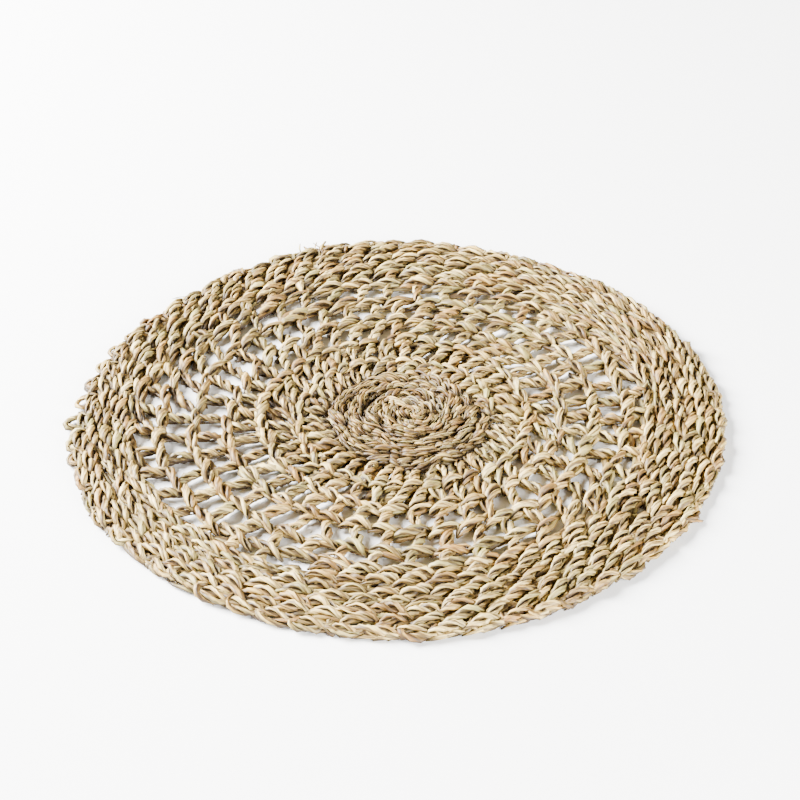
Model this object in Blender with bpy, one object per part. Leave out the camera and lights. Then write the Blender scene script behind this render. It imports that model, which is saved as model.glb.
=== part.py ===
"""Round placemat crocheted from one continuous seagrass cord.

The crochet starts in a ring a little to one side of the mat's middle and grows outwards in one
spiral: a dense centre, then turns of tall openwork, then one low openwork turn, then a dense
rim whose last turn stands out in scallops. It is one flat piece of even thickness. The solid has
the uneven scalloped outline and the gaps of the tall openwork; the cord itself is finer.

Metres, +Z up. The underside lies in Z = 0, and the outline's box is centred on X = Y = 0.
A turn is one lap of the spiral, counted counter-clockwise from +X; its fraction is the bearing.
"""

import math

import bpy
import numpy as np

# Whole mat
MAT_NAME = "placemat"
THICKNESS = 0.009
STRAW_COLOUR = (0.50, 0.41, 0.26, 1.0)

# Where the crochet starts, from the outline's middle
START_X = 0.0109
START_Y = -0.0039

# Openwork: the stitches in a turn grow steadily from the first number as the turns go by
STITCHES_PER_TURN = 38.0
STITCHES_GAINED = 1.5
FIRST_GAP_TURN = 0.56
LAST_GAP_TURN = 4.68
RIDGE_WIDTH = 0.0078
POST_WIDTH = 0.0046
POST_LEAN = 0.0022
LEAN_WAVE = 2.3

# Scalloped edge
SCALLOPS = 60
POINTS_PER_SCALLOP = 4
SCALLOP_DEPTH = 0.0035

# Top of the stitches along the spiral: (turn, radius)
SPIRAL = np.array([
    (-0.45, 0.0460),
    (0.00, 0.0505),
    (0.33, 0.0583),
    (1.33, 0.0784),
    (4.68, 0.1450),
])

# How the rounds' centre wanders as the mat grows: (radius, x, y) from the start ring
DRIFT = np.array([
    (0.000, 0.0000, 0.0000),
    (0.060, -0.0060, 0.0000),
    (0.140, -0.0070, 0.0070),
    (0.190, -0.0109, 0.0039),
])

# Outline about the mat's middle, at the tips of the scallops: (bearing in degrees, radius)
EDGE = np.array([
    (0.0, 0.1913),
    (22.5, 0.1925),
    (45.0, 0.1915),
    (67.5, 0.1905),
    (90.0, 0.1910),
    (112.5, 0.1890),
    (135.0, 0.1842),
    (157.5, 0.1868),
    (180.0, 0.1898),
    (202.5, 0.1925),
    (225.0, 0.1882),
    (247.5, 0.1882),
    (270.0, 0.1888),
    (292.5, 0.1876),
    (315.0, 0.1868),
    (337.5, 0.1892),
])

# One gap as a square with its corners cut: (across, up), each from -1 to 1
GAP_SHAPE = np.array([
    (-1.0, -0.5),
    (-0.6, -1.0),
    (0.6, -1.0),
    (1.0, -0.5),
    (1.0, 0.5),
    (0.6, 1.0),
    (-0.6, 1.0),
    (-1.0, 0.5),
])


def stitch_top(turn):
    """Radius of the stitches' top at a turn of the spiral."""
    return float(np.interp(turn, SPIRAL[:, 0], SPIRAL[:, 1]))


def stitches_in_a_turn(turn):
    """How many stitches one lap holds at a turn of the spiral."""
    return STITCHES_PER_TURN + STITCHES_GAINED * turn


def stitch_count(turn):
    """Stitches worked from turn 0 to a turn: the sum of those in a lap, as the lap grows."""
    return (STITCHES_PER_TURN + STITCHES_GAINED * turn / 2.0) * turn


def stitch_turn(count):
    """The turn that a count of stitches reaches, which undoes stitch_count."""
    spread = STITCHES_PER_TURN ** 2 + 2.0 * STITCHES_GAINED * count
    return (math.sqrt(spread) - STITCHES_PER_TURN) / STITCHES_GAINED


def flat_point(bearing, radius):
    """Point of the mat at a bearing (radians) and a radius about the rounds' wandering centre."""
    x = START_X + np.interp(radius, DRIFT[:, 0], DRIFT[:, 1]) + radius * np.cos(bearing)
    y = START_Y + np.interp(radius, DRIFT[:, 0], DRIFT[:, 2]) + radius * np.sin(bearing)
    return np.stack([x, y], axis=-1)


def outline_points():
    """Scalloped outline: the edge table joined smoothly, with a cusp between scallops."""
    count = SCALLOPS * POINTS_PER_SCALLOP
    bearing = np.arange(count) * (2.0 * math.pi / count)
    # The table's periodic curve is the sum of its first harmonics.
    harmonics = np.fft.rfft(EDGE[:, 1]) / len(EDGE)
    radius = np.full(count, harmonics[0].real)
    for order in range(1, len(EDGE) // 2):
        wave = np.exp(1j * order * bearing)
        radius += 2.0 * (harmonics[order] * wave).real
    radius -= SCALLOP_DEPTH * (1.0 - np.abs(np.sin(bearing * SCALLOPS / 2.0)))
    return np.stack([radius * np.cos(bearing), radius * np.sin(bearing)], axis=-1)


def gap_points(index):
    """Outline of one gap, between two posts and two ridges."""
    turn = stitch_turn(stitch_count(FIRST_GAP_TURN) + index + 0.5)
    low = stitch_top(turn - 1.0) + RIDGE_WIDTH / 2.0
    high = stitch_top(turn) - RIDGE_WIDTH / 2.0
    middle = (low + high) / 2.0
    pitch = 2.0 * math.pi * middle / stitches_in_a_turn(turn)
    across = GAP_SHAPE[:, 0] * (pitch - POST_WIDTH) / 2.0
    across = across + GAP_SHAPE[:, 1] * POST_LEAN * math.sin(LEAN_WAVE * index)
    radius = middle + GAP_SHAPE[:, 1] * (high - low) / 2.0
    bearing = 2.0 * math.pi * turn + across / middle
    return flat_point(bearing, radius)


def add_closed_line(curve, points):
    """Adds one closed run of straight sides to a flat curve."""
    spline = curve.splines.new("POLY")
    spline.points.add(len(points) - 1)
    corners = np.zeros((len(points), 4))
    corners[:, :2] = points
    corners[:, 3] = 1.0
    spline.points.foreach_set("co", corners.ravel())
    spline.use_cyclic_u = True


def seagrass_material():
    """Dry straw-coloured seagrass."""
    material = bpy.data.materials.new("seagrass")
    material.use_nodes = True
    shader = material.node_tree.nodes["Principled BSDF"]
    shader.inputs["Base Color"].default_value = STRAW_COLOUR
    shader.inputs["Roughness"].default_value = 0.75
    shader.inputs["Metallic"].default_value = 0.0
    return material


def build_placemat(collection):
    """The mat: a flat filled outline with the openwork's gaps, half its thickness each way."""
    outline = outline_points()
    box_middle = (outline.min(axis=0) + outline.max(axis=0)) / 2.0
    curve = bpy.data.curves.new(MAT_NAME, "CURVE")
    curve.dimensions = "2D"
    curve.fill_mode = "BOTH"
    curve.extrude = THICKNESS / 2.0
    add_closed_line(curve, outline - box_middle)
    gap_count = round(stitch_count(LAST_GAP_TURN) - stitch_count(FIRST_GAP_TURN))
    for index in range(gap_count):
        add_closed_line(curve, gap_points(index) - box_middle)
    curve.materials.append(seagrass_material())
    placemat = bpy.data.objects.new(MAT_NAME, curve)
    placemat.location.z = THICKNESS / 2.0
    collection.objects.link(placemat)
    return placemat


def main():
    """Clears the scene and builds the mat in its own collection."""
    for item in list(bpy.data.objects):
        bpy.data.objects.remove(item, do_unlink=True)
    collection = bpy.data.collections.new("seagrass_placemat")
    bpy.context.scene.collection.children.link(collection)
    build_placemat(collection)


main()
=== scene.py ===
"""Looks of the round seagrass placemat: every visible strand of its crochet, floor, light, camera.

The mat is one two-ply seagrass cord crocheted in a spiral. Each stitch shows a head, which is a
leaf-shaped pair of strands lying along the round, and in the openwork a post, which is two or
three strands that cross on their way out to the next head. Every strand is a tube that swells
in its middle and whose plies twist about each other; whole batches of strands are worked out
as numpy arrays and joined into a few pieces.
"""

import logging
import math
from dataclasses import dataclass, field
from enum import Enum

import bpy
import numpy as np
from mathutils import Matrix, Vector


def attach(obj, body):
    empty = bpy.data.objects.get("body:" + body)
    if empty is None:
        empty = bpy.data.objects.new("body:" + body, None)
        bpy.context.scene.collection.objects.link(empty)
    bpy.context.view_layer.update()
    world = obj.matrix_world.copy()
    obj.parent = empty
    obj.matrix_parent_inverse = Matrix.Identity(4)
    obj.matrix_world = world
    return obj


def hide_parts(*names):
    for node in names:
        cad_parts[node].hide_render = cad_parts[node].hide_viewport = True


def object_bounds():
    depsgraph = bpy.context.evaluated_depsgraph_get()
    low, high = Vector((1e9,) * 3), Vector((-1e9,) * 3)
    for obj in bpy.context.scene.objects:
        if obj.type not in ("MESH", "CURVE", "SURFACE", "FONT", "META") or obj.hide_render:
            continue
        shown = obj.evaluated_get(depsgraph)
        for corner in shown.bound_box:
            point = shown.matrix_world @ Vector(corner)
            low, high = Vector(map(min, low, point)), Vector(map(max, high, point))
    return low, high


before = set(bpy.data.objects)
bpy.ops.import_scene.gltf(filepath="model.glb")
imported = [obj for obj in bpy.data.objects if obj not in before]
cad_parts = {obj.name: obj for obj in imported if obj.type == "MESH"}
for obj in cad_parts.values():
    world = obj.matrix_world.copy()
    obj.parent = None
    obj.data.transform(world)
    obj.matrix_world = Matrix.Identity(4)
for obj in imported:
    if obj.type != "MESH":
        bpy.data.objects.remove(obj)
CAD_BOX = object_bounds()

LOG = logging.getLogger("placemat")
MM = 0.001
NODE = "placemat"


def table(*rows: tuple) -> np.ndarray:
    """Turns rows of millimetres into an array of metres, leaving the first column as it is."""
    values = np.array(rows, dtype=float)
    values[:, 1:] *= MM
    return values


def linear(hex_colour: str) -> tuple:
    """Turns an sRGB hex colour into linear red, green, blue and alpha.

    Args:
        hex_colour: six hex digits, such as "d9c79a".

    Returns:
        Four floats, the last one 1.
    """
    parts = [int(hex_colour[i:i + 2], 16) / 255.0 for i in (0, 2, 4)]
    curve = [p / 12.92 if p <= 0.04045 else ((p + 0.055) / 1.055) ** 2.4 for p in parts]
    return (*curve, 1.0)


def smooth_step(value: np.ndarray) -> np.ndarray:
    """Rises from 0 to 1 with level ends as value goes from 0 to 1."""
    t = np.clip(value, 0.0, 1.0)
    return t * t * (3.0 - 2.0 * t)


# ---------------------------------------------------------------- the spiral of rounds


class Zone(Enum):
    """The parts of the spiral, by the turns where each starts and ends."""

    CENTRE = (-5.45, 0.0)
    TALL_OPENWORK = (0.0, 4.68)
    LOW_OPENWORK = (4.68, 5.68)
    RIM = (5.68, 12.2)

    @property
    def start(self) -> float:
        """First turn of the zone."""
        return self.value[0]

    @property
    def end(self) -> float:
        """Last turn of the zone."""
        return self.value[1]


@dataclass
class Spiral:
    """Where the rounds lie: radius, stitch count and place of every point along the cord.

    A turn is one lap counter-clockwise from +X. Tables are in millimetres.
    """

    # top of the stitches: turn, radius
    tops: np.ndarray = field(default_factory=lambda: table(
        (-5.45, 4.0), (-4.6, 10.5), (-3.6, 19.0), (-2.6, 27.5), (-1.6, 36.2), (-0.45, 46.0),
        (0.0, 50.5), (0.33, 58.3), (1.33, 78.4), (4.68, 145.0)))
    # stitches in a lap: turn, stitches; in the openwork they grow by 1.5 a turn from 38, as the
    # solid's gaps do, so that the gaps fall between the posts
    laps: np.ndarray = field(default_factory=lambda: np.array([
        (-5.45, 9.0), (0.0, 38.0), (5.62, 46.4), (5.78, 60.0), (12.2, 64.0)]))
    # centre of the rounds from the start ring: radius, x, y
    drift: np.ndarray = field(default_factory=lambda: np.array([
        (0.0, 0.0, 0.0), (60.0, -6.0, 0.0), (140.0, -7.0, 7.0), (190.0, -10.9, 3.9)]) * MM)
    # outline about the mat's middle: bearing in degrees, radius
    edge: np.ndarray = field(default_factory=lambda: table(
        (0.0, 191.3), (22.5, 192.5), (45.0, 191.5), (67.5, 190.5), (90.0, 191.0),
        (112.5, 189.0), (135.0, 184.2), (157.5, 186.8), (180.0, 189.8), (202.5, 192.5),
        (225.0, 188.2), (247.5, 188.2), (270.0, 188.8), (292.5, 187.6), (315.0, 186.8),
        (337.5, 189.2)))
    # start ring, from the mat's middle
    start_xy: tuple = (10.9 * MM, -3.9 * MM)
    # height of the low openwork's round
    low_row: float = 13.5 * MM
    # rounds across the rim early and late in a lap, and the shares of a lap where one is lost
    rim_rows: tuple = (7.0, 6.0)
    rim_change: tuple = (0.25, 0.55)
    full_radius: float = 190.0 * MM
    # the edge's loops: least height, and how much more on the left
    loop_height: tuple = (3.0 * MM, 3.0 * MM)
    # unevenness of the rounds' radius
    wobble: float = 0.9 * MM
    # spacing of the grid of turns
    step: float = 0.004
    # where the stretch to the outline starts, and over what width it grows
    stretch_from: float = 130.0 * MM
    stretch_over: float = 55.0 * MM
    # gentle waves of the whole mat, which never sink: height, and waves in x and y
    swell_height: float = 0.35 * MM
    swell_waves: tuple = (9.0, 8.0)
    smallest_radius: float = 0.2 * MM

    def __post_init__(self) -> None:
        """Works out the radius and the stitch count on a fine grid of turns."""
        low, high = CAD_BOX
        self.middle = (np.array(low) + np.array(high)) / 2.0
        self.base = float(low[2])
        self.grid = np.arange(Zone.CENTRE.start - 1.0, Zone.RIM.end + 0.5, self.step)
        lap = int(round(1.0 / self.step))
        radius = np.interp(self.grid, self.tops[:, 0], self.tops[:, 1])
        centre = self.grid < self.tops[0, 0]
        radius[centre] = self.tops[0, 1] * np.clip(
            1.0 + (self.grid[centre] - self.tops[0, 0]) / 1.2, 0.05, 1.0)
        low_row = (self.grid >= Zone.LOW_OPENWORK.start) & (self.grid < Zone.LOW_OPENWORK.end)
        at = np.nonzero(low_row)[0]
        radius[at] = radius[at - lap] + self.low_row
        rim = np.nonzero(self.grid >= Zone.RIM.start)[0]
        into = self.grid[rim] - Zone.RIM.start
        row, part = np.floor(into), into % 1.0
        inner = radius[at[np.minimum((part * lap).astype(int), len(at) - 1)]]
        fade = smooth_step((part - self.rim_change[0]) / (self.rim_change[1] - self.rim_change[0]))
        rows = self.rim_rows[0] + (self.rim_rows[1] - self.rim_rows[0]) * fade
        outer = self.full_radius - self.loops(2.0 * math.pi * self.grid[rim])
        radius[rim] = inner + (outer - inner) * np.minimum((row + 1.0) / rows, 1.0)
        window = np.hanning(int(0.09 / self.step) + 2)
        self.radius = np.convolve(np.pad(radius, 20, mode="edge"), window / window.sum(), "same")[20:-20]
        rate = np.interp(self.grid, self.laps[:, 0], self.laps[:, 1])
        self.count = np.concatenate([[0.0], np.cumsum((rate[1:] + rate[:-1]) / 2.0 * self.step)])
        self.count -= np.interp(0.0, self.grid, self.count)

    def loops(self, bearing: np.ndarray) -> np.ndarray:
        """Height of the edge's loops: the least, plus more on the left as a cubed half cosine."""
        least, more = self.loop_height
        return least + more * np.maximum(-np.cos(bearing + 0.2), 0.0) ** 3

    def turn_at(self, count: np.ndarray) -> np.ndarray:
        """Turn that a stitch count reaches."""
        return np.interp(count, self.count, self.grid)

    def count_at(self, turn: float) -> float:
        """Stitches worked up to a turn, from turn 0."""
        return float(np.interp(turn, self.grid, self.count))

    def top(self, turn: np.ndarray) -> np.ndarray:
        """Radius of the stitches' top at a turn, with the hand's unevenness.

        The unevenness is three sines along the cord, whose wavelengths are 3 to 11 stitches.
        """
        smooth = np.interp(turn, self.grid, self.radius)
        count = np.interp(turn, self.grid, self.count)
        uneven = np.sin(0.57 * count) + 0.7 * np.sin(1.31 * count + 1.0) + 0.5 * np.sin(2.1 * count + 2.0)
        room = smooth_step(smooth / (20.0 * MM)) * smooth_step((self.full_radius - smooth) / (12.0 * MM))
        return smooth + self.wobble * uneven * room

    def pitch(self, turn: np.ndarray) -> np.ndarray:
        """Width of one stitch at a turn: the lap's length over its stitches."""
        rate = np.interp(turn, self.laps[:, 0], self.laps[:, 1])
        return 2.0 * math.pi * np.interp(turn, self.grid, self.radius) / rate

    def stitches(self, start: float, end: float) -> np.ndarray:
        """Counts of the stitches that begin between two turns."""
        return np.arange(math.ceil(self.count_at(start)), math.floor(self.count_at(end)), dtype=float)

    def edge_radius(self, bearing: np.ndarray) -> np.ndarray:
        """Outline's radius at a bearing: the table's periodic curve, as a sum of harmonics."""
        terms = np.fft.rfft(self.edge[:, 1]) / len(self.edge)
        order = np.arange(1, len(self.edge) // 2)
        wave = np.exp(1j * order * np.asarray(bearing)[..., None])
        return terms[0].real + 2.0 * (terms[1:len(order) + 1] * wave).real.sum(axis=-1)

    def place(self, count: np.ndarray, rise: np.ndarray, out: np.ndarray,
              lift: np.ndarray) -> np.ndarray:
        """Puts points of the crochet in the row's frame.

        The radius goes from the round below (rise 0) to this round's top (rise 1), plus out.
        The bearing is the turn's fraction. The centre drifts with the radius, and near the rim
        the radius is stretched to the mat's uneven outline.

        Args:
            count: place along the cord, in stitches.
            rise: share of the way from the round below to this round's top.
            out: metres further out.
            lift: height above the underside, in metres.

        Returns:
            Points, with x, y and z in the last axis.
        """
        turn = self.turn_at(count)
        low, high = self.top(turn - 1.0), self.top(turn)
        radius = np.maximum(low + (high - low) * rise + out, self.smallest_radius)
        bearing = 2.0 * math.pi * turn
        stretch = self.edge_radius(bearing) / self.full_radius - 1.0
        radius = radius * (1.0 + stretch * smooth_step((radius - self.stretch_from) / self.stretch_over))
        x = self.start_xy[0] + np.interp(radius, self.drift[:, 0], self.drift[:, 1])
        y = self.start_xy[1] + np.interp(radius, self.drift[:, 0], self.drift[:, 2])
        x = self.middle[0] + x + radius * np.cos(bearing)
        y = self.middle[1] + y + radius * np.sin(bearing)
        across, along = self.swell_waves
        swell = np.sin(across * x / self.full_radius + 1.0) * np.cos(along * y / self.full_radius)
        z = self.base + lift + self.swell_height * np.maximum(swell, 0.0)
        return np.stack(np.broadcast_arrays(x, y, z), axis=-1)


# ---------------------------------------------------------------- strands as swept cords


@dataclass(frozen=True)
class Make:
    """How a length of cord is made.

    Attributes:
        rings: cross-sections along it.
        sides: corners of each ply's cross-section.
        plies: strands twisted together.
        twist: turns of the plies for each metre.
        spread: distance of a ply's middle from the cord's, as a share of the cord's radius.
        thick: a ply's radius, as a share of the cord's.
        tip: size at the ends, as a share of the middle's.
        belly: power of the swelling; a small one gives a blunt cord.
        flat: height of the cross-section over its width.
        oval: a ply's size towards the cord's middle, over its size the other way.
        folds: unevenness of a ply's corners, which gives it folds along its length.
        crimp: how far every other corner lies in, which gives it grooves along its length.
        lumps: unevenness from ring to ring, where the leaf crumpled as it was twisted.
    """

    rings: int = 9
    sides: int = 8
    plies: int = 2
    twist: float = 52.0
    spread: float = 0.48
    thick: float = 0.6
    tip: float = 0.4
    belly: float = 0.65
    flat: float = 0.9
    oval: float = 0.82
    folds: float = 0.16
    crimp: float = 0.13
    lumps: float = 0.1


@dataclass
class Cords:
    """A batch of lengths of cord: one row each.

    Attributes:
        points: control points, cords x points x 3.
        radius: the middle's radius of each, in metres.
        tone: 0 pale to 1 deep, for each.
        hue: 0 straw to 1 green, for each.
        deep: painted shade, 0 on top of the crochet to 1 in its crevices, for each.
        low: height below which the painted shade darkens them, in metres above the underside; one or one
            for each.
        make: how they are made.
    """

    points: np.ndarray
    radius: np.ndarray
    tone: np.ndarray
    hue: np.ndarray
    deep: np.ndarray
    low: float | np.ndarray = 1.0 * MM
    make: Make = Make()


def curve_weights(points: int, rings: int) -> np.ndarray:
    """Weights that carry control points to rings on the Catmull-Rom curve through them.

    Between two points the curve is the cubic whose slope at each point is half the step between
    its neighbours. The ends' missing neighbours are mirrored.

    Args:
        points: number of control points.
        rings: number of rings, evenly spaced along the curve's parameter.

    Returns:
        Array of rings x points.
    """
    u = np.linspace(0.0, points - 1.0, rings)
    cell = np.minimum(u.astype(int), points - 2)
    t = u - cell
    cubic = np.stack([
        -0.5 * t + t ** 2 - 0.5 * t ** 3,
        1.0 - 2.5 * t ** 2 + 1.5 * t ** 3,
        0.5 * t + 2.0 * t ** 2 - 1.5 * t ** 3,
        -0.5 * t ** 2 + 0.5 * t ** 3], axis=1)
    padded = np.zeros((rings, points + 2))
    np.put_along_axis(padded, cell[:, None] + np.arange(4), cubic, axis=1)
    weights = padded[:, 1:-1].copy()
    weights[:, 0] += 2.0 * padded[:, 0]
    weights[:, 1] -= padded[:, 0]
    weights[:, -1] += 2.0 * padded[:, -1]
    weights[:, -2] -= padded[:, -1]
    return weights


class PieceMesh:
    """Collects swept cords and makes one mesh object of them.

    The constants are how uneven hand-twisted leaf is, and how dark the painted shade in its hidden
    parts is: 0 is a part in the open and 1 the bottom of a crevice.
    """

    TWIST_RANGE = (0.75, 1.3)
    PLY_SPREAD = 0.16
    FOLD_LIMIT = 1.8
    POLE_REACH = 0.6
    GROUND_GAP = 0.1 * MM
    CREASE_DARK = 0.95
    TUCKED_DARK = 0.65
    GROOVE_DARK = (0.6, 0.35)
    GROOVE_LIMITS = (0.1, 0.95)
    # share of the height where the painted shade fades in, from its start to its full width
    FADE = (0.3, 0.7)
    TONE_SPREAD = 0.24
    HUE_SPREAD = 0.08
    TEXTURE_RANGE = 50.0

    def __init__(self, name: str, seed: int) -> None:
        """Starts an empty piece.

        Args:
            name: the piece's name.
            seed: for its plies' phases.
        """
        self.name = name
        self.rng = np.random.default_rng(seed)
        self.vertices: list = []
        self.quads: list = []
        self.triangles: list = []
        self.fibre: list = []
        self.shade: list = []
        self.total = 0

    def sweep(self, cords: Cords) -> None:
        """Sweeps a batch of cords and adds the tubes of their plies, each closed by two poles.

        Each ply is a helix about the cord's curve: its middle is the curve's point plus
        spread x size x (cos turn across + flat x sin turn upwards), where turn grows evenly
        along the cord. Its corners lie on an oval about that middle, thick x size long and
        oval times as deep towards the cord's middle, so that the oval turns with the helix; each
        corner is further out or in by a random share, which changes slowly along the ply, and
        every other one lies in by the crimp. Every ring and corner has a small lump of its own.
        The size is radius x (tip + (1 - tip) x sin(pi x share)^belly), share being 0 to 1
        along the cord.

        Args:
            cords: the batch.
        """
        make = cords.make
        many = len(cords.points)
        if not many:
            return
        line = np.einsum("rk,mkc->mrc", curve_weights(cords.points.shape[1], make.rings), cords.points)
        along = np.gradient(line, axis=1)
        along /= np.linalg.norm(along, axis=-1, keepdims=True)
        across = np.cross(np.array([0.0, 0.0, 1.0]), along)
        across /= np.maximum(np.linalg.norm(across, axis=-1, keepdims=True), 1e-9)
        upwards = np.cross(along, across)
        steps = np.linalg.norm(np.diff(line, axis=1), axis=-1)
        length = np.concatenate([np.zeros((many, 1)), np.cumsum(steps, axis=1)], axis=1)
        share = np.linspace(0.0, 1.0, make.rings)
        swell = make.tip + (1.0 - make.tip) * np.sin(math.pi * share) ** make.belly
        size = cords.radius[:, None] * swell

        ply = np.arange(make.plies) * (2.0 * math.pi / make.plies)
        phase = self.rng.uniform(0.0, 2.0 * math.pi, (many, 1, 1))
        twist = make.twist * self.rng.uniform(*self.TWIST_RANGE, (many, 1, 1))
        turn = 2.0 * math.pi * twist * length[:, None] + phase + ply[:, None]
        angle = np.arange(make.sides) * (2.0 * math.pi / make.sides)
        uneven = self.rng.normal(1.0, self.PLY_SPREAD, (many, make.plies, 1))
        thick = make.thick * uneven * size[:, None]
        off_across = make.spread * size[:, None] * np.cos(turn)
        off_up = make.spread * size[:, None] * np.sin(turn)
        fold = self.rng.normal(0.0, 1.0, (2, many, make.plies, 1, make.sides))
        fold = fold[0] * (1.0 - share[:, None]) + fold[1] * share[:, None]
        groove = np.where(np.arange(make.sides) % 2, 1.0, -1.0)
        folded = make.folds * np.clip(fold, -self.FOLD_LIMIT, self.FOLD_LIMIT) - make.crimp * groove
        folded = folded + self.rng.normal(0.0, make.lumps, (many, make.plies, make.rings, 1))
        folded = folded + self.rng.normal(0.0, 0.6 * make.lumps, folded.shape)
        folded = thick[..., None] * (1.0 + folded)
        inwards = make.oval * folded * np.cos(angle)
        sideways = folded * np.sin(angle)
        cos_turn, sin_turn = np.cos(turn)[..., None], np.sin(turn)[..., None]
        out_across = off_across[..., None] + inwards * cos_turn - sideways * sin_turn
        out_up = off_up[..., None] + inwards * sin_turn + sideways * cos_turn
        ring = (line[:, None, :, None, :]
                + out_across[..., None] * across[:, None, :, None, :]
                + (make.flat * out_up)[..., None] * upwards[:, None, :, None, :])
        middle = (line[:, None]
                  + off_across[..., None] * across[:, None]
                  + (make.flat * off_up)[..., None] * upwards[:, None])
        outwards = np.stack([-along[:, 0], along[:, -1]], axis=1)[:, None]
        ends = middle[:, :, [0, -1]] + self.POLE_REACH * thick[:, :, [0, -1], None] * outwards
        ground = float(CAD_BOX[0][2]) + self.GROUND_GAP
        ring[..., 2] = np.maximum(ring[..., 2], ground)
        ends[..., 2] = np.maximum(ends[..., 2], ground)
        tubes = many * make.plies
        points = np.concatenate([ring.reshape(tubes, -1, 3), ends.reshape(tubes, 2, 3)], axis=1)

        shift = self.rng.uniform(-self.TEXTURE_RANGE, self.TEXTURE_RANGE, (many, make.plies, 1, 1, 3))
        skin = np.stack([
            np.broadcast_to(length[:, None, :, None], inwards.shape), inwards, sideways],
            axis=-1) / MM
        fibre = (skin + shift).reshape(tubes, -1, 3)
        fibre = np.concatenate([fibre, fibre[:, [0, -1]]], axis=1)

        # painted shade of every corner, kept in the shade attribute's third channel
        deep = self.darkness(cords, ring[..., 2], fold, groove > 0.0).reshape(tubes, -1)
        deep = np.concatenate([deep, deep[:, [0, -1]]], axis=1)
        tone = cords.tone[:, None] + self.rng.normal(0.0, self.TONE_SPREAD, (many, make.plies))
        hue = cords.hue[:, None] + self.rng.normal(0.0, self.HUE_SPREAD, (many, make.plies))
        shade = np.stack([
            np.broadcast_to(np.clip(tone, 0.0, 1.0).reshape(-1, 1), deep.shape),
            np.broadcast_to(np.clip(hue, 0.0, 1.0).reshape(-1, 1), deep.shape), deep,
            np.ones_like(deep)], axis=-1)

        corner = np.arange(make.rings * make.sides).reshape(make.rings, make.sides)
        after = np.roll(corner, -1, axis=1)
        quads = np.stack([corner[:-1], after[:-1], after[1:], corner[1:]], axis=-1).reshape(-1, 4)
        first, last = make.rings * make.sides, make.rings * make.sides + 1
        fans = np.concatenate([
            np.stack([np.full(make.sides, first), after[0], corner[0]], axis=-1),
            np.stack([np.full(make.sides, last), corner[-1], after[-1]], axis=-1)])
        start = self.total + np.arange(tubes)[:, None, None] * points.shape[1]
        self.vertices.append(points.reshape(-1, 3))
        self.fibre.append(fibre.reshape(-1, 3))
        self.shade.append(shade.reshape(-1, 4))
        self.quads.append((start + quads).reshape(-1, 4))
        self.triangles.append((start + fans).reshape(-1, 3))
        self.total += tubes * points.shape[1]

    def darkness(self, cords: Cords, z: np.ndarray, fold: np.ndarray,
                 grooved: np.ndarray) -> np.ndarray:
        """Works out how deep in a crevice every corner of a batch's rings lies.

        It is the sum of the cord's own depth, the crease between its plies, its tucked ends, the
        height (1 at the underside, 0 from the cord's low height up) and its grooves. All of it is
        shade painted into the colour, not cast by the lamps.

        Args:
            cords: the batch.
            z: height of every corner.
            fold: unevenness of every corner along each ply.
            grooved: True for the corners that lie in a groove.

        Returns:
            Painted shade, 0 in the open to 1 in a crevice, for cords x plies x rings x corners.
        """
        make = cords.make
        share = np.linspace(0.0, 1.0, make.rings)
        angle = np.arange(make.sides) * (2.0 * math.pi / make.sides)
        crease = (0.5 - 0.5 * np.cos(angle)) ** 2 * float(make.plies > 1)
        tucked = self.TUCKED_DARK * (1.0 - np.sin(math.pi * share) ** 0.5)[:, None]
        low = np.reshape(cords.low, (-1, 1, 1, 1))
        start, width = self.FADE
        sunk = 1.0 - smooth_step(((z - float(CAD_BOX[0][2])) / low - start) / width)
        usual, varied = self.GROOVE_DARK
        valley = np.clip(usual + varied * fold, *self.GROOVE_LIMITS) * grooved
        deep = cords.deep[:, None, None, None] + self.CREASE_DARK * crease + tucked + sunk + valley
        return np.clip(deep, 0.0, 1.0)

    def build(self, material: bpy.types.Material) -> bpy.types.Object:
        """Makes the mesh object, with its attributes, its finish and its place in the frame.

        Args:
            material: the finish.

        Returns:
            The new object, riding on the root body.
        """
        vertices = np.concatenate(self.vertices)
        quads, triangles = np.concatenate(self.quads), np.concatenate(self.triangles)
        mesh = bpy.data.meshes.new(self.name)
        mesh.vertices.add(len(vertices))
        mesh.vertices.foreach_set("co", vertices.astype(np.float32).ravel())
        mesh.loops.add(quads.size + triangles.size)
        mesh.loops.foreach_set("vertex_index", np.concatenate([quads.ravel(), triangles.ravel()]))
        mesh.polygons.add(len(quads) + len(triangles))
        starts = np.concatenate([
            np.arange(len(quads)) * 4, quads.size + np.arange(len(triangles)) * 3])
        mesh.polygons.foreach_set("loop_start", starts)
        mesh.polygons.foreach_set("use_smooth", np.ones(len(starts), dtype=bool))
        mesh.update(calc_edges=True)
        fibre = mesh.attributes.new("fibre", "FLOAT_VECTOR", "POINT")
        fibre.data.foreach_set("vector", np.concatenate(self.fibre).astype(np.float32).ravel())
        shade = mesh.attributes.new("shade", "FLOAT_COLOR", "POINT")
        shade.data.foreach_set("color", np.concatenate(self.shade).astype(np.float32).ravel())
        mesh.materials.append(material)
        piece = bpy.data.objects.new(self.name, mesh)
        bpy.context.scene.collection.objects.link(piece)
        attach(piece, "root")
        LOG.info("%s: %d vertices, %d triangles", self.name, len(vertices),
                 2 * len(quads) + len(triangles))
        return piece


# ---------------------------------------------------------------- finishes


def add_node(tree: bpy.types.NodeTree, kind: str, links: dict | None = None,
             **settings: object) -> bpy.types.Node:
    """Adds a node, sets its properties and sockets, and links its inputs.

    Args:
        tree: the material's node tree.
        kind: the node's type, without the "ShaderNode" in front.
        links: input socket name or number to the output socket that feeds it.
        **settings: properties of the node, or of its inputs when written in_NAME.

    Returns:
        The new node.
    """
    node = tree.nodes.new("ShaderNode" + kind)
    for name, value in settings.items():
        if name.startswith("in_"):
            node.inputs[name[3:].replace("_", " ")].default_value = value
        else:
            setattr(node, name, value)
    for socket, source in (links or {}).items():
        tree.links.new(source, node.inputs[socket])
    return node


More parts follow.
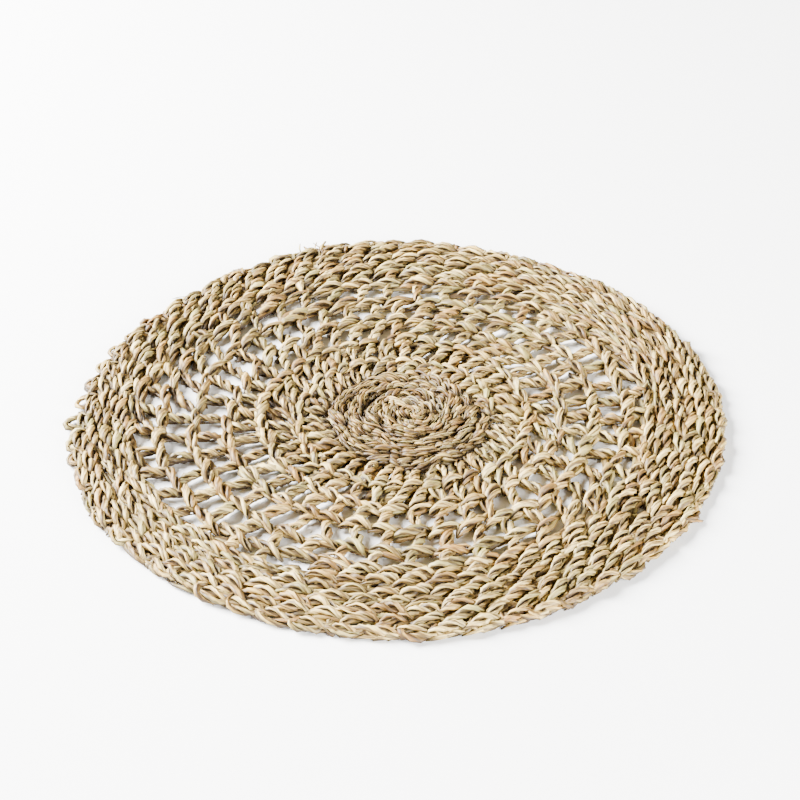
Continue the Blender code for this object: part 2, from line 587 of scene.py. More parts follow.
def set_ramp(node: bpy.types.Node, stops: list) -> None:
    """Sets a colour ramp's stops.

    Args:
        node: the ramp.
        stops: pairs of position and hex colour.
    """
    ramp = node.color_ramp
    while len(ramp.elements) < len(stops):
        ramp.elements.new(0.5)
    for element, (position, colour) in zip(ramp.elements, stops):
        element.position = position
        element.color = linear(colour)


def tinted(tree: bpy.types.NodeTree, amount: bpy.types.NodeSocket, colour: bpy.types.NodeSocket,
           tint: str) -> bpy.types.NodeSocket:
    """Mixes a colour towards a tint.

    Args:
        tree: the material's node tree.
        amount: how far, from 0 to 1.
        colour: the colour to tint.
        tint: the tint's hex colour.

    Returns:
        The mixed colour's socket.
    """
    mix = add_node(tree, "Mix", {0: amount, 6: colour}, data_type="RGBA", clamp_factor=True)
    mix.inputs[7].default_value = linear(tint)
    return mix.outputs[2]


@dataclass(frozen=True)
class DriedSeagrass:
    """Dried seagrass leaf, twisted by hand and left raw.

    The leaf is a flat sedge blade dried in the sun: pale straw where it bleached, olive where it
    dried green, tan at the folds, with fine veins along it and a faint waxy gloss. Veins are
    0.2 mm apart on the real leaf; here they are 1.8 mm, so that they show. The cords are darkened
    in their creases, grooves and tucked ends, under the heads and low down: that is painted shade,
    set by the depth each corner lies at.
    """

    name: str = "dried_seagrass_twisted"
    pale: str = "e9cf8a"
    straw: str = "cba85c"
    tan: str = "94692e"
    olive: str = "948c50"
    painted_shade: str = "302110"
    rust: str = "a87c3c"
    vein: str = "5a4524"
    vein_mm: float = 1.8
    vein_length_mm: float = 22.0
    relief: float = 0.0008
    roughness: float = 0.5
    sheen: float = 0.35
    patches_per_mm: tuple = (0.09, 0.25, 0.25)
    crevice_power: float = 1.5
    crevice_share: float = 0.95

    def build(self) -> bpy.types.Material:
        """Makes the material: strand tones, veins that follow the twist, dark crevices."""
        material = bpy.data.materials.new(self.name)
        material.use_nodes = True
        tree = material.node_tree
        shader = tree.nodes["Principled BSDF"]
        shader.inputs["Roughness"].default_value = self.roughness
        shader.inputs["Specular IOR Level"].default_value = self.sheen
        fibre = add_node(tree, "Attribute", attribute_name="fibre")
        shade = add_node(tree, "Attribute", attribute_name="shade")
        parts = add_node(tree, "SeparateColor", {0: shade.outputs["Color"]})
        tone, hue, deep = (parts.outputs[i] for i in range(3))

        along = 1.0 / self.vein_length_mm
        veins_at = add_node(tree, "Mapping", {"Vector": fibre.outputs["Vector"]},
                            in_Scale=(along, 1.0 / self.vein_mm, 1.0 / self.vein_mm))
        veins = add_node(tree, "TexNoise", {"Vector": veins_at.outputs[0]},
                         in_Scale=1.0, in_Detail=3.0, in_Roughness=0.6)
        patch_at = add_node(tree, "Mapping", {"Vector": fibre.outputs["Vector"]},
                            in_Scale=self.patches_per_mm)
        patches = add_node(tree, "TexNoise", {"Vector": patch_at.outputs[0]},
                           in_Scale=1.0, in_Detail=2.0)

        # pale, straw and tan, by the ply's own tone and by streaks along it
        streaks = add_node(tree, "MapRange", {"Value": veins.outputs[0]},
                           in_From_Min=0.38, in_From_Max=0.62)
        mixed = add_node(tree, "Math", {0: streaks.outputs[0], 1: tone}, operation="ADD")
        mixed = add_node(tree, "MapRange", {"Value": mixed.outputs[0]},
                         in_From_Min=0.3, in_From_Max=1.45)
        straw = add_node(tree, "ValToRGB", {0: mixed.outputs[0]})
        set_ramp(straw, [(0.0, self.pale), (0.42, self.straw), (1.0, self.tan)])
        # olive in patches, on the plies that dried green
        green = add_node(tree, "Math", {0: patches.outputs[0], 1: hue}, operation="MULTIPLY")
        green = add_node(tree, "MapRange", {"Value": green.outputs[0]},
                         in_From_Min=0.16, in_From_Max=0.5, in_To_Max=0.85)
        colour = tinted(tree, green.outputs[0], straw.outputs[0], self.olive)
        # rust on the few plies with the lowest hue
        rusty = add_node(tree, "MapRange", {"Value": hue},
                         in_From_Min=0.05, in_From_Max=0.0, in_To_Max=0.7)
        colour = tinted(tree, rusty.outputs[0], colour, self.rust)
        # dark veins
        dark_veins = add_node(tree, "MapRange", {"Value": veins.outputs[0]},
                              in_From_Min=0.5, in_From_Max=0.56, in_To_Max=0.8)
        colour = tinted(tree, dark_veins.outputs[0], colour, self.vein)
        # painted shade: creases, grooves, tucked ends, undersides and low parts mixed towards a dark
        # colour
        crevice = add_node(tree, "Math", {0: deep}, operation="POWER")
        crevice.inputs[1].default_value = self.crevice_power
        crevice = add_node(tree, "Math", {0: crevice.outputs[0]}, operation="MULTIPLY")
        crevice.inputs[1].default_value = self.crevice_share
        colour = tinted(tree, crevice.outputs[0], colour, self.painted_shade)
        tree.links.new(colour, shader.inputs["Base Color"])

        bump = add_node(tree, "Bump", {"Height": veins.outputs[0]},
                        in_Strength=0.8, in_Distance=self.relief)
        tree.links.new(bump.outputs[0], shader.inputs["Normal"])
        return material


@dataclass(frozen=True)
class PaleFloor:
    """Matt white studio sweep: no gloss, so that only soft shadow shows on it."""

    name: str = "matt_white_paper"
    colour: str = "f7f7f6"
    roughness: float = 0.95

    def build(self) -> bpy.types.Material:
        """Makes the floor's material."""
        material = bpy.data.materials.new(self.name)
        material.use_nodes = True
        shader = material.node_tree.nodes["Principled BSDF"]
        shader.inputs["Base Color"].default_value = linear(self.colour)
        shader.inputs["Roughness"].default_value = self.roughness
        return material


# ---------------------------------------------------------------- sub-assemblies


@dataclass
class Hand:
    """The unevenness of each stitch, shared by all its strands.

    Attributes:
        along, out, lift: shifts in metres.
        turn: extra tilt in radians.
        stretch: length over the usual.
        open: opening over the usual.
    """

    along: np.ndarray
    out: np.ndarray
    lift: np.ndarray
    turn: np.ndarray
    stretch: np.ndarray
    open: np.ndarray


@dataclass
class Crochet:
    """What every zone of the crochet shares: the spiral, the maker's hand and the finish.

    The lean table gives, by bearing in degrees, the tilt of the heads, the sag of their middle
    and the lean of the posts, in degrees, millimetres and degrees, and how deep the painted
    crevice shade reaches against the usual; that last column paints the shade deepest at the back
    and on the left and lightest at the front and on the right. A head with a negative tilt starts
    further out than it ends. No draw of the hand goes past hand_limit.
    """

    spiral: Spiral
    material: bpy.types.Material
    seed: int = 1
    hand_limit: float = 1.9
    # last column: painted shade, deepest at the back and left, lightest at the front and right
    lean: tuple = (
        (0, 0, 0.3, 14, 0.35), (45, -15, 0.2, 16, 0.5), (90, -33, 0.0, 20, 1.0),
        (120, -36, 0.0, 24, 1.2), (150, -25, 0.2, 24, 1.25), (180, -14, 0.4, 22, 1.3),
        (200, -6, 1.0, 14, 1.15), (225, 0, 2.0, 2, 0.75), (250, 0, 2.6, 0, 0.4),
        (270, -10, 2.4, 0, 0.35), (290, -28, 1.4, 4, 0.3), (310, -24, 0.8, 12, 0.3),
        (330, -8, 0.4, 16, 0.3))

    def __post_init__(self) -> None:
        """Starts the hand's own random draws."""
        self.rng = np.random.default_rng(self.seed)

    def leaning(self, count: np.ndarray) -> tuple:
        """Tilt and lean in radians, sag in metres and crevices' depth of the stitches at a count."""
        # the depth scales the height of the painted shade, so the back and left are painted darker
        bearing = 360.0 * (self.spiral.turn_at(count) % 1.0)
        rows = np.array(self.lean, dtype=float)
        tilt, sag, lean, depth = (
            np.interp(bearing, rows[:, 0], rows[:, i], period=360.0) for i in (1, 2, 3, 4))
        return np.radians(tilt), sag * MM, np.radians(lean), depth

    def hand(self, many: int, care: float = 1.0) -> Hand:
        """Draws the unevenness of a run of stitches: half from stitch to stitch, half slower.

        Args:
            many: number of stitches.
            care: scale of the unevenness.

        Returns:
            The hand for these stitches.
        """
        quick = self.rng.normal(0.0, 1.0, (6, many))
        slow = self.rng.normal(0.0, 1.0, (6, many + 4))
        slow = np.stack([np.convolve(row, np.full(5, 0.45), "valid") for row in slow])
        draw = np.clip(care * 0.75 * (quick + slow), -self.hand_limit, self.hand_limit)
        return Hand(0.8 * MM * draw[0], 0.5 * MM * draw[1], 0.35 * MM * draw[2],
                    np.radians(8.0) * draw[3], 1.0 + 0.08 * draw[4],
                    np.clip(1.0 + 0.25 * draw[5], 0.3, 1.7))

    def tones(self, many: int, deep: float = 0.0) -> dict:
        """Draws the colours of a batch of cords.

        Args:
            many: number of cords.
            deep: how much painted shade they get for lying down in the crochet, 0 to 1.

        Returns:
            The Cords fields tone, hue and deep.
        """
        return {
            "tone": self.rng.beta(1.8, 2.4, many),
            "hue": self.rng.beta(1.6, 1.8, many),
            "deep": np.clip(self.rng.normal(deep, 0.06, many), 0.0, 1.0),
        }

    def lay(self, count: np.ndarray, hand: Hand, tilt: np.ndarray, rise: float,
            route: tuple) -> np.ndarray:
        """Lays one cord along each stitch.

        The route is turned by the tilt about the stitch's middle, then carried to the round.

        Args:
            count: the stitches' middles.
            hand: their unevenness.
            tilt: their tilt in radians.
            rise: place between the round below and this one's top.
            route: along (in stitches), out (in millimetres) and lift (in millimetres) of each
                control point; each is a row, or a stitches x points array.

        Returns:
            Control points, stitches x points x 3.
        """
        pitch = self.spiral.pitch(self.spiral.turn_at(count))[:, None]
        along, out, lift = (np.asarray(part, dtype=float) for part in route)
        fine = self.rng.normal(0.0, 0.22 * MM, (3, len(count), along.shape[-1]))
        s = along * pitch * hand.stretch[:, None] + fine[0]
        w = out * MM + fine[1]
        angle = (tilt + hand.turn)[:, None]
        forward = s * np.cos(angle) - w * np.sin(angle) + hand.along[:, None]
        outward = s * np.sin(angle) + w * np.cos(angle) + hand.out[:, None]
        height = lift * MM + hand.lift[:, None] + 0.5 * fine[2]
        return self.spiral.place(count[:, None] + forward / pitch, rise + 0.0 * s, outward, height)

    def climb(self, count: np.ndarray, hand: Hand, lean: np.ndarray, route: tuple) -> np.ndarray:
        """Lays one cord up each post, from the round below to this round.

        Args:
            count: the posts' middles.
            hand: their unevenness.
            lean: angle from the radius, in radians, positive when the outer end lags.
            route: rise (0 to 1), across (in millimetres), out (in millimetres) and lift (in
                millimetres) of each control point.

        Returns:
            Control points, posts x points x 3.
        """
        turn = self.spiral.turn_at(count)
        pitch = self.spiral.pitch(turn)[:, None]
        tall = (self.spiral.top(turn) - self.spiral.top(turn - 1.0))[:, None]
        rise, across, out, lift = (np.asarray(part, dtype=float) for part in route)
        fine = self.rng.normal(0.0, 0.25 * MM, (3, len(count), rise.shape[-1]))
        slant = (0.5 - rise) * tall * np.tan(lean + 1.8 * hand.turn)[:, None]
        forward = slant + across * MM * hand.open[:, None] + fine[0] + hand.along[:, None]
        height = lift * MM + hand.lift[:, None] + fine[2]
        return self.spiral.place(count[:, None] + forward / pitch, rise + 0.0 * forward,
                                 out * MM + fine[1], height)


@dataclass
class HeadSizes:
    """One stitch head: a spindle of two plies with a thinner strand beside it.

    Millimetres: the spindle's radius and top, the side strand's radius, place and top; also
    the head's half length in stitches. The defaults are the rim's.
    """

    radius: float = 3.1
    top: float = 6.1
    side_radius: float = 1.3
    side_out: float = 2.9
    side_top: float = 3.6
    half: float = 0.68


@dataclass
class Heads(Crochet):
    """Heads of stitches: what shows on top of every round."""

    sizes: HeadSizes = field(default_factory=HeadSizes)
    make: Make = Make()
    leaf: Make = Make(rings=8, sides=6, plies=1, spread=0.0, thick=1.0, twist=12.0, tip=0.45)
    under: Make = Make(rings=7, sides=6, plies=1, spread=0.0, thick=1.0, twist=12.0, tip=0.7)

    def heads(self, piece: PieceMesh, count: np.ndarray, hand: Hand, share: float | np.ndarray,
              rise: float, low: float) -> None:
        """Adds the spindle and the side strand of each head.

        Args:
            piece: the mesh that takes them.
            count: the stitches' middles.
            hand: their unevenness.
            share: share of the bearing's tilt and sag that these heads have.
            rise: place between the round below and this one's top.
            low: height below which painted shade darkens them, in metres.
        """
        s = self.sizes
        many = len(count)
        tilt, sag, _, depth = self.leaning(count)
        low = low * depth
        along = np.array((-1.0, -0.55, 0.0, 0.55, 1.0)) * s.half
        bend = (share * sag)[:, None] / MM * np.array((0.75, -0.1, -0.45, -0.1, 0.75))
        dips = np.array((-3.2, -0.7, 0.0, -0.7, -3.4))
        points = self.lay(count, hand, share * tilt, rise, (along, bend, s.top + dips))
        radius = s.radius * MM * self.rng.normal(1.0, 0.08, many) * hand.open ** 0.3
        piece.sweep(Cords(points, radius, low=low, make=self.make, **self.tones(many)))
        side = np.where(self.rng.random(many) < 0.5, 1.0, -1.0)[:, None]
        beside = side * s.side_out * np.array((0.2, 0.85, 1.0, 0.8, 0.1)) * hand.open[:, None]
        points = self.lay(count, hand, share * tilt, rise,
                          (along * 0.95, bend + beside, s.side_top + 0.8 * dips))
        radius = s.side_radius * MM * self.rng.normal(1.0, 0.12, many)
        piece.sweep(Cords(points, radius, low=low, make=self.leaf, **self.tones(many, 0.05)))

    def underside(self, piece: PieceMesh, count: np.ndarray, hand: Hand, rise: float,
                  rows: tuple, radius: float) -> None:
        """Adds the strands that close a round from below.

        Args:
            piece: the mesh that takes them.
            count: the stitches' middles.
            hand: their unevenness.
            rise: place between the round below and this one's top.
            rows: along (in stitches) and out (in millimetres) of each strand.
            radius: their radius in millimetres.
        """
        for along, out in rows:
            tilt = np.full(len(count), math.radians(-14.0))
            route = (along + np.array((-0.62, -0.2, 0.2, 0.62)), out, (2.0, 2.5, 2.5, 2.0))
            points = self.lay(count, hand, tilt, rise, route)
            size = radius * MM * self.rng.normal(1.0, 0.05, len(count))
            # strands under the round get painted shade (deep 0.5)
            piece.sweep(Cords(points, size, make=self.under, **self.tones(len(count), 0.5)))


@dataclass
class OpenworkHeads(Heads):
    """The chains between the openwork's rows: the heads of its stitches."""

    sizes: HeadSizes = field(default_factory=lambda: HeadSizes(
        radius=3.6, top=6.0, side_radius=1.7, side_out=2.8, side_top=4.4, half=0.7))
    make: Make = Make(twist=34.0, spread=0.52, thick=0.52, tip=0.2, belly=0.75)

    def build(self) -> list:
        """Builds the chains of the tall and the low openwork as one piece."""
        piece = PieceMesh("openwork_chains", 11)
        count = self.spiral.stitches(Zone.TALL_OPENWORK.start, Zone.LOW_OPENWORK.end) + 0.5
        hand = self.hand(len(count), 1.2)
        self.heads(piece, count, hand, 0.55, 1.0, 5.2 * MM)
        self.underside(piece, count, hand, 1.0, ((0.5, -0.3),), 1.9)
        return [piece.build(self.material)]


@dataclass
class OpenworkPosts(Crochet):
    """The posts that hold the openwork's rounds apart: a spindle, a leaf beside it and frays.

    Attributes:
        radius, leaf_radius: of the spindle and of the leaf, in millimetres.
        frays: loose strands of each post, as radius, spread sideways and the heights along it, in
            millimetres; the second lies under the post.
        web: turns where single strands close the gaps next to the centre.
    """

    make: Make = Make(thick=0.54, tip=0.5, belly=0.6)
    leaf: Make = Make(rings=8, sides=6, plies=1, spread=0.0, thick=1.0, tip=0.7, flat=0.7)
    radius: float = 3.6
    leaf_radius: float = 1.7
    web: tuple = (-0.8, 1.9)
    frays: tuple = ((1.0, 1.8, (2.2, 3.0, 4.6, 3.6, 2.6)), (1.3, 0.3, (1.6, 1.5, 1.5, 1.5, 1.6)))

    def build(self) -> list:
        """Builds every post as one piece."""
        piece = PieceMesh("openwork_posts", 12)
        count = self.spiral.stitches(Zone.TALL_OPENWORK.start, Zone.LOW_OPENWORK.end) + 0.5
        many = len(count)
        hand = self.hand(many, 1.2)
        _, _, lean, depth = self.leaning(count)
        rise = (-0.08, 0.2, 0.5, 0.8, 1.06)
        points = self.climb(count, hand, lean, (rise, (0.0,) * 5, (0.0,) * 5, (2.6, 4.6, 5.0, 4.6, 3.0)))
        radius = self.radius * MM * self.rng.normal(1.0, 0.1, many)
        piece.sweep(Cords(points, radius, low=5.4 * MM * depth, make=self.make, **self.tones(many, 0.04)))
        side = np.where(self.rng.random(many) < 0.5, 1.0, -1.0)[:, None]
        across = side * np.array((2.0, 1.8, 0.9, -0.4, -1.4))
        points = self.climb(count, hand, lean, (rise, across, (0.0,) * 5, (2.2, 3.4, 3.6, 3.2, 2.2)))
        radius = self.leaf_radius * MM * self.rng.normal(1.0, 0.1, many)
        piece.sweep(Cords(points, radius, low=4.6 * MM * depth, make=self.leaf, **self.tones(many, 0.1)))
        for thick, astray, heights in self.frays:
            across = astray * self.rng.normal(0.0, 1.0, (many, 1)) * np.array((0.9, 0.5, 0.1, 0.4, 0.8))
            points = self.climb(count, hand, lean, (rise, across, (0.0,) * 5, heights))
            radius = thick * MM * self.rng.normal(1.0, 0.15, many)
            low = 4.6 * MM * depth
            piece.sweep(Cords(points, radius, low=low, make=self.leaf, **self.tones(many, 0.05)))
        web = self.spiral.stitches(*self.web)
        many = len(web)
        rise = (-0.1, 0.2, 0.5, 0.8, 1.05)
        points = self.climb(web, self.hand(many, 1.5), self.leaning(web)[2],
                            (rise, (0.0,) * 5, (0.0,) * 5, (2.0, 2.4, 2.4, 2.4, 2.0)))
        radius = 2.5 * MM * self.rng.normal(1.0, 0.1, many)
        # the web's strands lie low and get painted shade (deep 0.3)
        piece.sweep(Cords(points, radius, low=4.6 * MM, make=self.leaf, **self.tones(many, 0.3)))
        return [piece.build(self.material)]


@dataclass
class Rim(Heads):
    """The dense rim and the loops of its last round.

    Attributes:
        splits: turns where the three pieces of the rim start.
        dark_below: height below which painted shade darkens the heads.
        edge_drop: how much lower the last round lies.
        edge_calm: how much of the heads' tilt goes on the last round, which lies along the edge.
        edge_steady: the same for the hand's own tilt.
        edge_width: turns over which the edge sets in.
    """

    make: Make = Make(twist=40.0, spread=0.52, thick=0.54, tip=0.28, belly=0.65)
    splits: tuple = (5.68, 7.9, 10.1)
    dark_below: float = 6.4 * MM
    edge_drop: float = 1.0 * MM
    edge_calm: float = 0.6
    edge_steady: float = 0.7
    edge_width: float = 1.6

    def build(self) -> list:
        """Builds the rim's rounds and its scalloped edge."""
        end = Zone.RIM.start + self.spiral.rim_rows[0] - 1.0 + self.spiral.rim_change[1] - 0.08
        names = ("rim_inner_rounds", "rim_middle_rounds", "rim_outer_rounds")
        pieces = []
        for name, start, stop in zip(names, self.splits, (*self.splits[1:], end)):
            piece = PieceMesh(name, 20 + len(pieces))
            count = self.spiral.stitches(start, stop) + 0.5
            hand = self.hand(len(count))
            edge = smooth_step(self.spiral.turn_at(count) - end + self.edge_width)
            hand.lift -= self.edge_drop * edge
            hand.turn *= 1.0 - self.edge_steady * edge
            self.heads(piece, count, hand, 1.0 - self.edge_calm * edge, 0.7, self.dark_below)
            self.underside(piece, count, hand, 0.4, ((0.0, -0.6), (0.5, 3.0)), 2.5)
            self.crossings(piece, count, hand)
            if stop == end:
                self.loops(piece, end)
            pieces.append(piece.build(self.material))
        return pieces

    def crossings(self, piece: PieceMesh, count: np.ndarray, hand: Hand) -> None:
        """Adds the stitches' short legs, which show between the heads and slant across the round.

        Args:
            piece: the mesh that takes them.
            count: the stitches' middles.
            hand: their unevenness.
        """
        many = len(count)
        side = np.where(self.rng.random(many) < 0.75, 1.0, -1.0)[:, None]
        along = 0.5 + side * np.array((-0.22, -0.1, 0.1, 0.2))
        out = (-4.2, -1.6, 1.2, 3.4)
        points = self.lay(count, hand, np.zeros(many), 0.6, (along, out, (2.2, 3.0, 3.1, 2.2)))
        radius = 1.7 * MM * self.rng.normal(1.0, 0.12, many)
        low = self.dark_below * self.leaning(count)[3]
        piece.sweep(Cords(points, radius, low=low, make=self.leaf, **self.tones(many)))

    def loops(self, piece: PieceMesh, end: float) -> None:
        """Adds the loops that scallop the edge, larger on the left: two legs and a round bow."""
        count = self.spiral.stitches(end - 1.0, end) + 0.5
        hand = self.hand(len(count))
        high = self.spiral.loops(2.0 * math.pi * self.spiral.turn_at(count)) / MM
        high = high * np.clip(self.rng.normal(1.0, 0.22, len(count)), 0.5, 1.4)
        make = Make(rings=12, sides=6, twist=40.0, tip=0.6, belly=0.5)
        wide = np.interp(high, (3.0, 5.5), (2.3, 1.0))[:, None]
        along = wide * np.array((-0.26, -0.25, -0.14, 0.14, 0.25, 0.26))
        out = -2.4 + high[:, None] * np.array((-0.9, 0.1, 0.9, 0.9, 0.1, -0.9))
        lift = (3.8, 4.0, 3.0, 3.0, 4.0, 3.8)
        points = self.lay(count, hand, np.zeros(len(count)), 1.0, (along, out, lift))
        radius = 2.6 * MM * self.rng.normal(1.0, 0.12, len(count))
        piece.sweep(Cords(points, radius, low=4.4 * MM, make=make, **self.tones(len(count))))


@dataclass
class Centre(Heads):
    """The dense centre, from the start ring to the openwork: fans of narrow leaves.

    Attributes:
        holes, hole_radius: small holes that the leaves keep clear of, in millimetres from the
            start ring.
        leaves: leaves in a fan.
        gap: spacing of a fan's leaves, in millimetres.
        leaf_radius, leaf_half: a leaf's radius and half its length, in millimetres.
        arch: how much lower the fan's sides are, in millimetres for each leaf squared.
        fans: tilt of the fans in degrees, by bearing in degrees.
        sheaf_turn, leaf_turn: unevenness of a fan's tilt and of its leaves', in degrees.
        dark_below: height below which painted shade darkens the leaves.
        tan: how much deeper in tone the centre is.
        opening_start, opening_end: ends of the pale leaves that cross the start ring, in
            millimetres from it.
    """

    leaf: Make = Make(rings=10, sides=6, plies=1, spread=0.0, thick=1.0, twist=14.0,
                      tip=0.15, belly=0.8)
    holes: tuple = ((11.0, 5.0), (-6.0, -4.0))
    hole_radius: float = 4.4
    leaves: int = 6
    gap: float = 1.35
    leaf_radius: float = 0.95
    leaf_half: float = 7.2
    arch: float = 0.42
    fans: tuple = ((0, 10), (60, 16), (110, 18), (150, -14), (200, -24), (240, -4), (290, 10))
    sheaf_turn: float = 12.0
    leaf_turn: float = 5.0
    dark_below: float = 10.4 * MM
    tan: float = 0.26
    opening_start: tuple = (-17.0, 15.0)
    opening_end: tuple = (-3.5, 8.0)

    def build(self) -> list:
        """Builds the centre's rounds."""
        piece = PieceMesh("centre_rounds", 31)
        count = self.spiral.stitches(Zone.CENTRE.start, Zone.CENTRE.end) + 0.5
        hand = self.hand(len(count), 1.2)
        bearing = 360.0 * (self.spiral.turn_at(count) % 1.0)
        rows = np.array(self.fans, dtype=float)
        tilt = np.radians(np.interp(bearing, rows[:, 0], rows[:, 1], period=360.0))
        many = len(count)
        shared = self.tones(many)["tone"]
        pitch = self.spiral.pitch(self.spiral.turn_at(count))
        sheaf = self.rng.normal(0.0, math.radians(self.sheaf_turn), many)
        for leaf in range(self.leaves):
            side = leaf - (self.leaves - 1) / 2.0
            half = self.leaf_half * MM / pitch * self.rng.normal(1.0, 0.18, many)
            start = self.rng.normal(0.0, 0.16, many) + 0.08 * side
            along = start[:, None] + half[:, None] * np.array((-1.0, -0.5, 0.0, 0.5, 1.0))
            fan = side + self.rng.normal(0.0, 0.25, many)
            out = self.gap * fan[:, None] * np.array((0.65, 0.95, 1.05, 1.1, 0.85)) + np.array(
                (-0.7, 0.2, 0.6, 0.2, -0.8))
            top = 7.0 - self.arch * side ** 2 + self.rng.normal(0.0, 0.45, many)[:, None]
            loose = tilt + sheaf + self.rng.normal(0.0, math.radians(self.leaf_turn), many)
            points = self.lay(count, hand, loose, 0.45,
                              (along, out, top + np.array((-3.8, -0.7, 0.0, -0.8, -4.0))))
            radius = self.leaf_radius * MM * self.rng.normal(1.0, 0.18, many)
            tones = self.tones(many)
            tones["tone"] = 0.5 * (tones["tone"] + shared) + self.tan
            keep = self.clear(points)
            tones = {name: values[keep] for name, values in tones.items()}
            piece.sweep(Cords(points[keep], radius[keep], low=self.dark_below, make=self.leaf, **tones))
        self.underside(piece, count, hand, 0.4, ((0.0, -1.5), (0.5, 2.5)), 2.3)
        self.opening(piece)
        return [piece.build(self.material)]

    def clear(self, points: np.ndarray) -> np.ndarray:
        """Tells which leaves keep clear of the holes beside the start ring.

        Args:
            points: control points, leaves x points x 3.

        Returns:
            True for each leaf whose middle lies outside every hole.
        """
        middle = points[:, points.shape[1] // 2, None, :2]
        holes = self.spiral.middle[:2] + np.array(self.spiral.start_xy) + np.array(self.holes) * MM
        return (np.linalg.norm(middle - holes, axis=-1) > self.hole_radius * MM).all(axis=1)

    def opening(self, piece: PieceMesh) -> None:
        """Adds the pale leaves that cross the start ring, side by side."""
        side = np.arange(5) - 2.0
        x0, y0 = self.opening_start
        x1, y1 = self.opening_end
        share = np.array((0.0, 0.25, 0.5, 0.75, 1.0))
        x = x0 + (x1 - x0) * share + 0.9 * side[:, None]
        y = y0 + (y1 - y0) * share - 1.7 * side[:, None] * (1.0 - 0.3 * share)
        z = np.broadcast_to(np.array((4.0, 6.6, 7.4, 6.9, 4.4)), x.shape)
        points = np.stack([x, y, z], axis=-1) * MM
        points[..., :2] += self.spiral.middle[:2] + np.array(self.spiral.start_xy)
        points[..., 2] += self.spiral.base
        tones = {"tone": np.full(5, 0.1), "hue": np.full(5, 0.1), "deep": np.zeros(5)}
        piece.sweep(Cords(points, np.full(5, 1.2 * MM), make=self.leaf, **tones))


@dataclass
class Strays(Crochet):
    """Loose ends: a frayed tuft at the back, a dry tip and a few wisps.

    Each row gives a stray's bearing in degrees and rounds in from the last, then start and end
    in millimetres along the round, outwards and up, then its radius in millimetres, its tone
    and its hue.
    """

    rows: tuple = (
        (329.0, 0, -3.0, 5.0, -2.0, 6.5, 4.5, 1.6, 1.2, 1.0, 0.0),
        (27.0, 0, -9.0, 6.0, -3.0, 8.0, 7.0, 3.0, 0.35, 1.0, 0.4),
        (203.0, 9, -5.0, 9.0, -3.0, 6.0, 7.5, 4.0, 0.45, 1.0, 0.3),
        (262.0, 2, -8.0, 7.0, 0.0, 5.0, 8.6, 9.4, 0.4, 0.2, 0.2),
        (184.0, 4, -5.0, 6.0, 2.0, -5.0, 8.6, 9.6, 0.4, 0.1, 0.2),
        (318.0, 3, -7.0, 6.0, 2.0, 6.0, 8.8, 9.2, 0.4, 0.3, 0.1),
        (140.0, 1, -6.0, 5.0, 0.0, 6.0, 8.4, 9.6, 0.4, 0.1, 0.3))
    tuft: int = 9
    tuft_bearing: float = 107.0
    make: Make = Make(rings=10, sides=6, plies=1, spread=0.0, thick=1.0, tip=0.3, belly=0.5)

    def build(self) -> list:
        """Builds every stray as one piece."""
        piece = PieceMesh("stray_ends", 41)
        rows = np.array(self.rows, dtype=float)
        tuft = np.zeros((self.tuft, rows.shape[1]))
        tuft[:, 0] = self.tuft_bearing + self.rng.uniform(-2.5, 2.5, self.tuft)
        tuft[:, 2:4] = self.rng.uniform(-5.0, 5.0, (self.tuft, 2))
        tuft[:, 4] = -3.0
        tuft[:, 5] = self.rng.uniform(4.0, 9.0, self.tuft)
        tuft[:, 6] = 4.5
        tuft[:, 7] = self.rng.uniform(2.0, 7.5, self.tuft)
        tuft[:, 8] = self.rng.uniform(0.5, 1.1, self.tuft)
        tuft[:, 9:] = self.rng.uniform(0.2, 0.8, (self.tuft, 2))
        rows = np.concatenate([rows, tuft])
        share = np.linspace(0.0, 1.0, 5)
        along, out, lift = (rows[:, i, None] * (1.0 - share) + rows[:, i + 1, None] * share
                            for i in (2, 4, 6))
        out = out + 1.2 * np.sin(math.pi * share)
        turn = Zone.RIM.end - 1.2 - rows[:, 1] + (rows[:, 0] / 360.0 - (Zone.RIM.end - 1.2)) % 1.0
        pitch = self.spiral.pitch(turn)[:, None]
        count = np.interp(turn, self.spiral.grid, self.spiral.count)[:, None] + along * MM / pitch
        points = self.spiral.place(count, 1.0 + 0.0 * count, out * MM, lift * MM)
        piece.sweep(Cords(points, rows[:, 8] * MM, tone=rows[:, 9], hue=rows[:, 10],
                          deep=np.zeros(len(rows)), make=self.make))
        return [piece.build(self.material)]


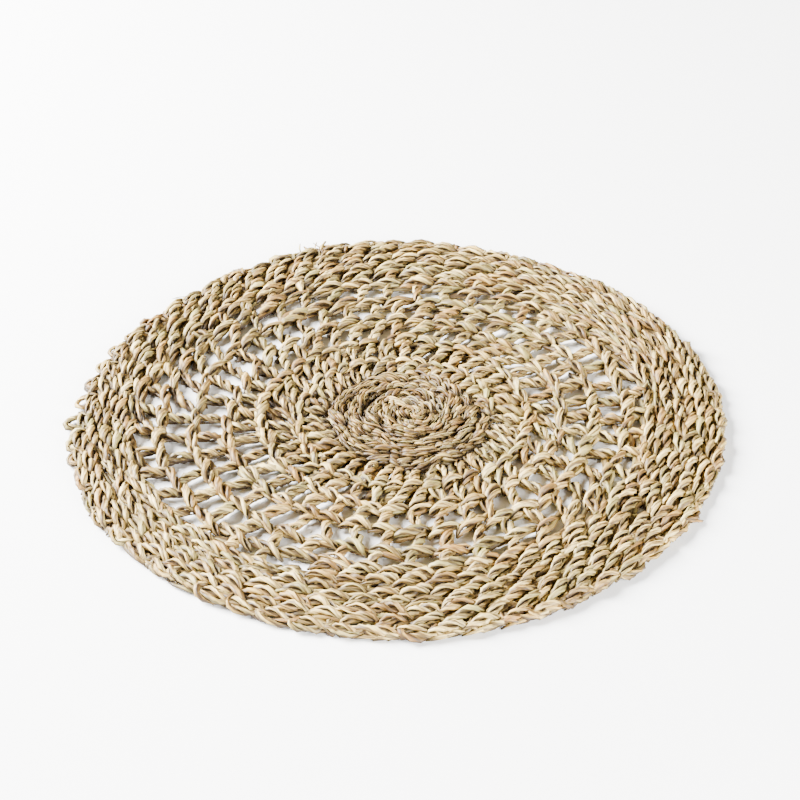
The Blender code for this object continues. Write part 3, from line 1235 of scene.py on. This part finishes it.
@dataclass
class Studio:
    """Plain pale floor, a soft box at the back left, a low weak one in front, and the camera.

    Attributes:
        elevation, distance: the camera's angle above the table and its way from the target.
        lens_mm, target, shift: its lens, the point it looks at and its shift.
        world: strength of the light from all round.
        key, fill: the lamps' place, size and power.
        floor_half: half the floor's width.
    """

    elevation: float = math.radians(36.6)
    distance: float = 1.1
    lens_mm: float = 84.6
    target: tuple = (0.0015, 0.006, 0.0)
    shift: tuple = (0.0016, 0.0161)
    world: float = 0.1
    key: tuple = ((-1.6, 0.5, 1.1), 1.2, 640.0)
    fill: tuple = ((1.1, -1.2, 0.48), 1.0, 175.0)
    floor_half: float = 6.0

    def floor(self) -> None:
        """Lays the floor in the plane that the mat rests on."""
        half, z = self.floor_half, float(CAD_BOX[0][2])
        mesh = bpy.data.meshes.new("floor")
        mesh.from_pydata([(-half, -half, z), (half, -half, z), (half, half, z), (-half, half, z)],
                         [], [(0, 1, 2, 3)])
        mesh.materials.append(PaleFloor().build())
        floor = bpy.data.objects.new("floor", mesh)
        bpy.context.scene.collection.objects.link(floor)

    def lamp(self, name: str, place: tuple, size: float, watts: float) -> None:
        """Hangs a square soft box that faces the mat.

        Args:
            name: the lamp's name.
            place: where it hangs.
            size: its side, in metres.
            watts: its power.
        """
        data = bpy.data.lights.new(name, "AREA")
        data.size = size
        data.energy = watts
        lamp = bpy.data.objects.new(name, data)
        lamp.location = place
        aim = Vector(place)
        lamp.rotation_euler = aim.to_track_quat("Z", "Y").to_euler()
        bpy.context.scene.collection.objects.link(lamp)

    def camera(self) -> None:
        """Sets the camera on the mat's -Y side, looking down at it."""
        data = bpy.data.cameras.new("camera")
        data.lens = self.lens_mm
        data.shift_x, data.shift_y = self.shift
        camera = bpy.data.objects.new("camera", data)
        back, up = math.cos(self.elevation), math.sin(self.elevation)
        x, y, z = self.target
        camera.location = (x, y - back * self.distance, z + up * self.distance)
        camera.rotation_euler = (math.pi / 2.0 - self.elevation, 0.0, 0.0)
        bpy.context.scene.collection.objects.link(camera)
        bpy.context.scene.camera = camera

    def build(self) -> None:
        """Builds the floor, the lights and the camera."""
        self.floor()
        world = bpy.data.worlds.new("studio")
        world.use_nodes = True
        background = world.node_tree.nodes["Background"]
        background.inputs["Color"].default_value = (1.0, 1.0, 1.0, 1.0)
        background.inputs["Strength"].default_value = self.world
        bpy.context.scene.world = world
        self.lamp("key", *self.key)
        self.lamp("fill", *self.fill)
        self.camera()


def main() -> None:
    logging.basicConfig(level=logging.INFO, format="%(name)s: %(message)s")
    material = DriedSeagrass().build()
    spiral = Spiral()
    Studio().build()
    pieces = []
    for part in (Centre(spiral, material, 1), OpenworkHeads(spiral, material, 2),
                 OpenworkPosts(spiral, material, 3), Rim(spiral, material, 4),
                 Strays(spiral, material, 5)):
        pieces += part.build()
    for piece in pieces:
        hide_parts(NODE)
    LOG.info("%d pieces", len(pieces))


if __name__ == "__main__":
    main()
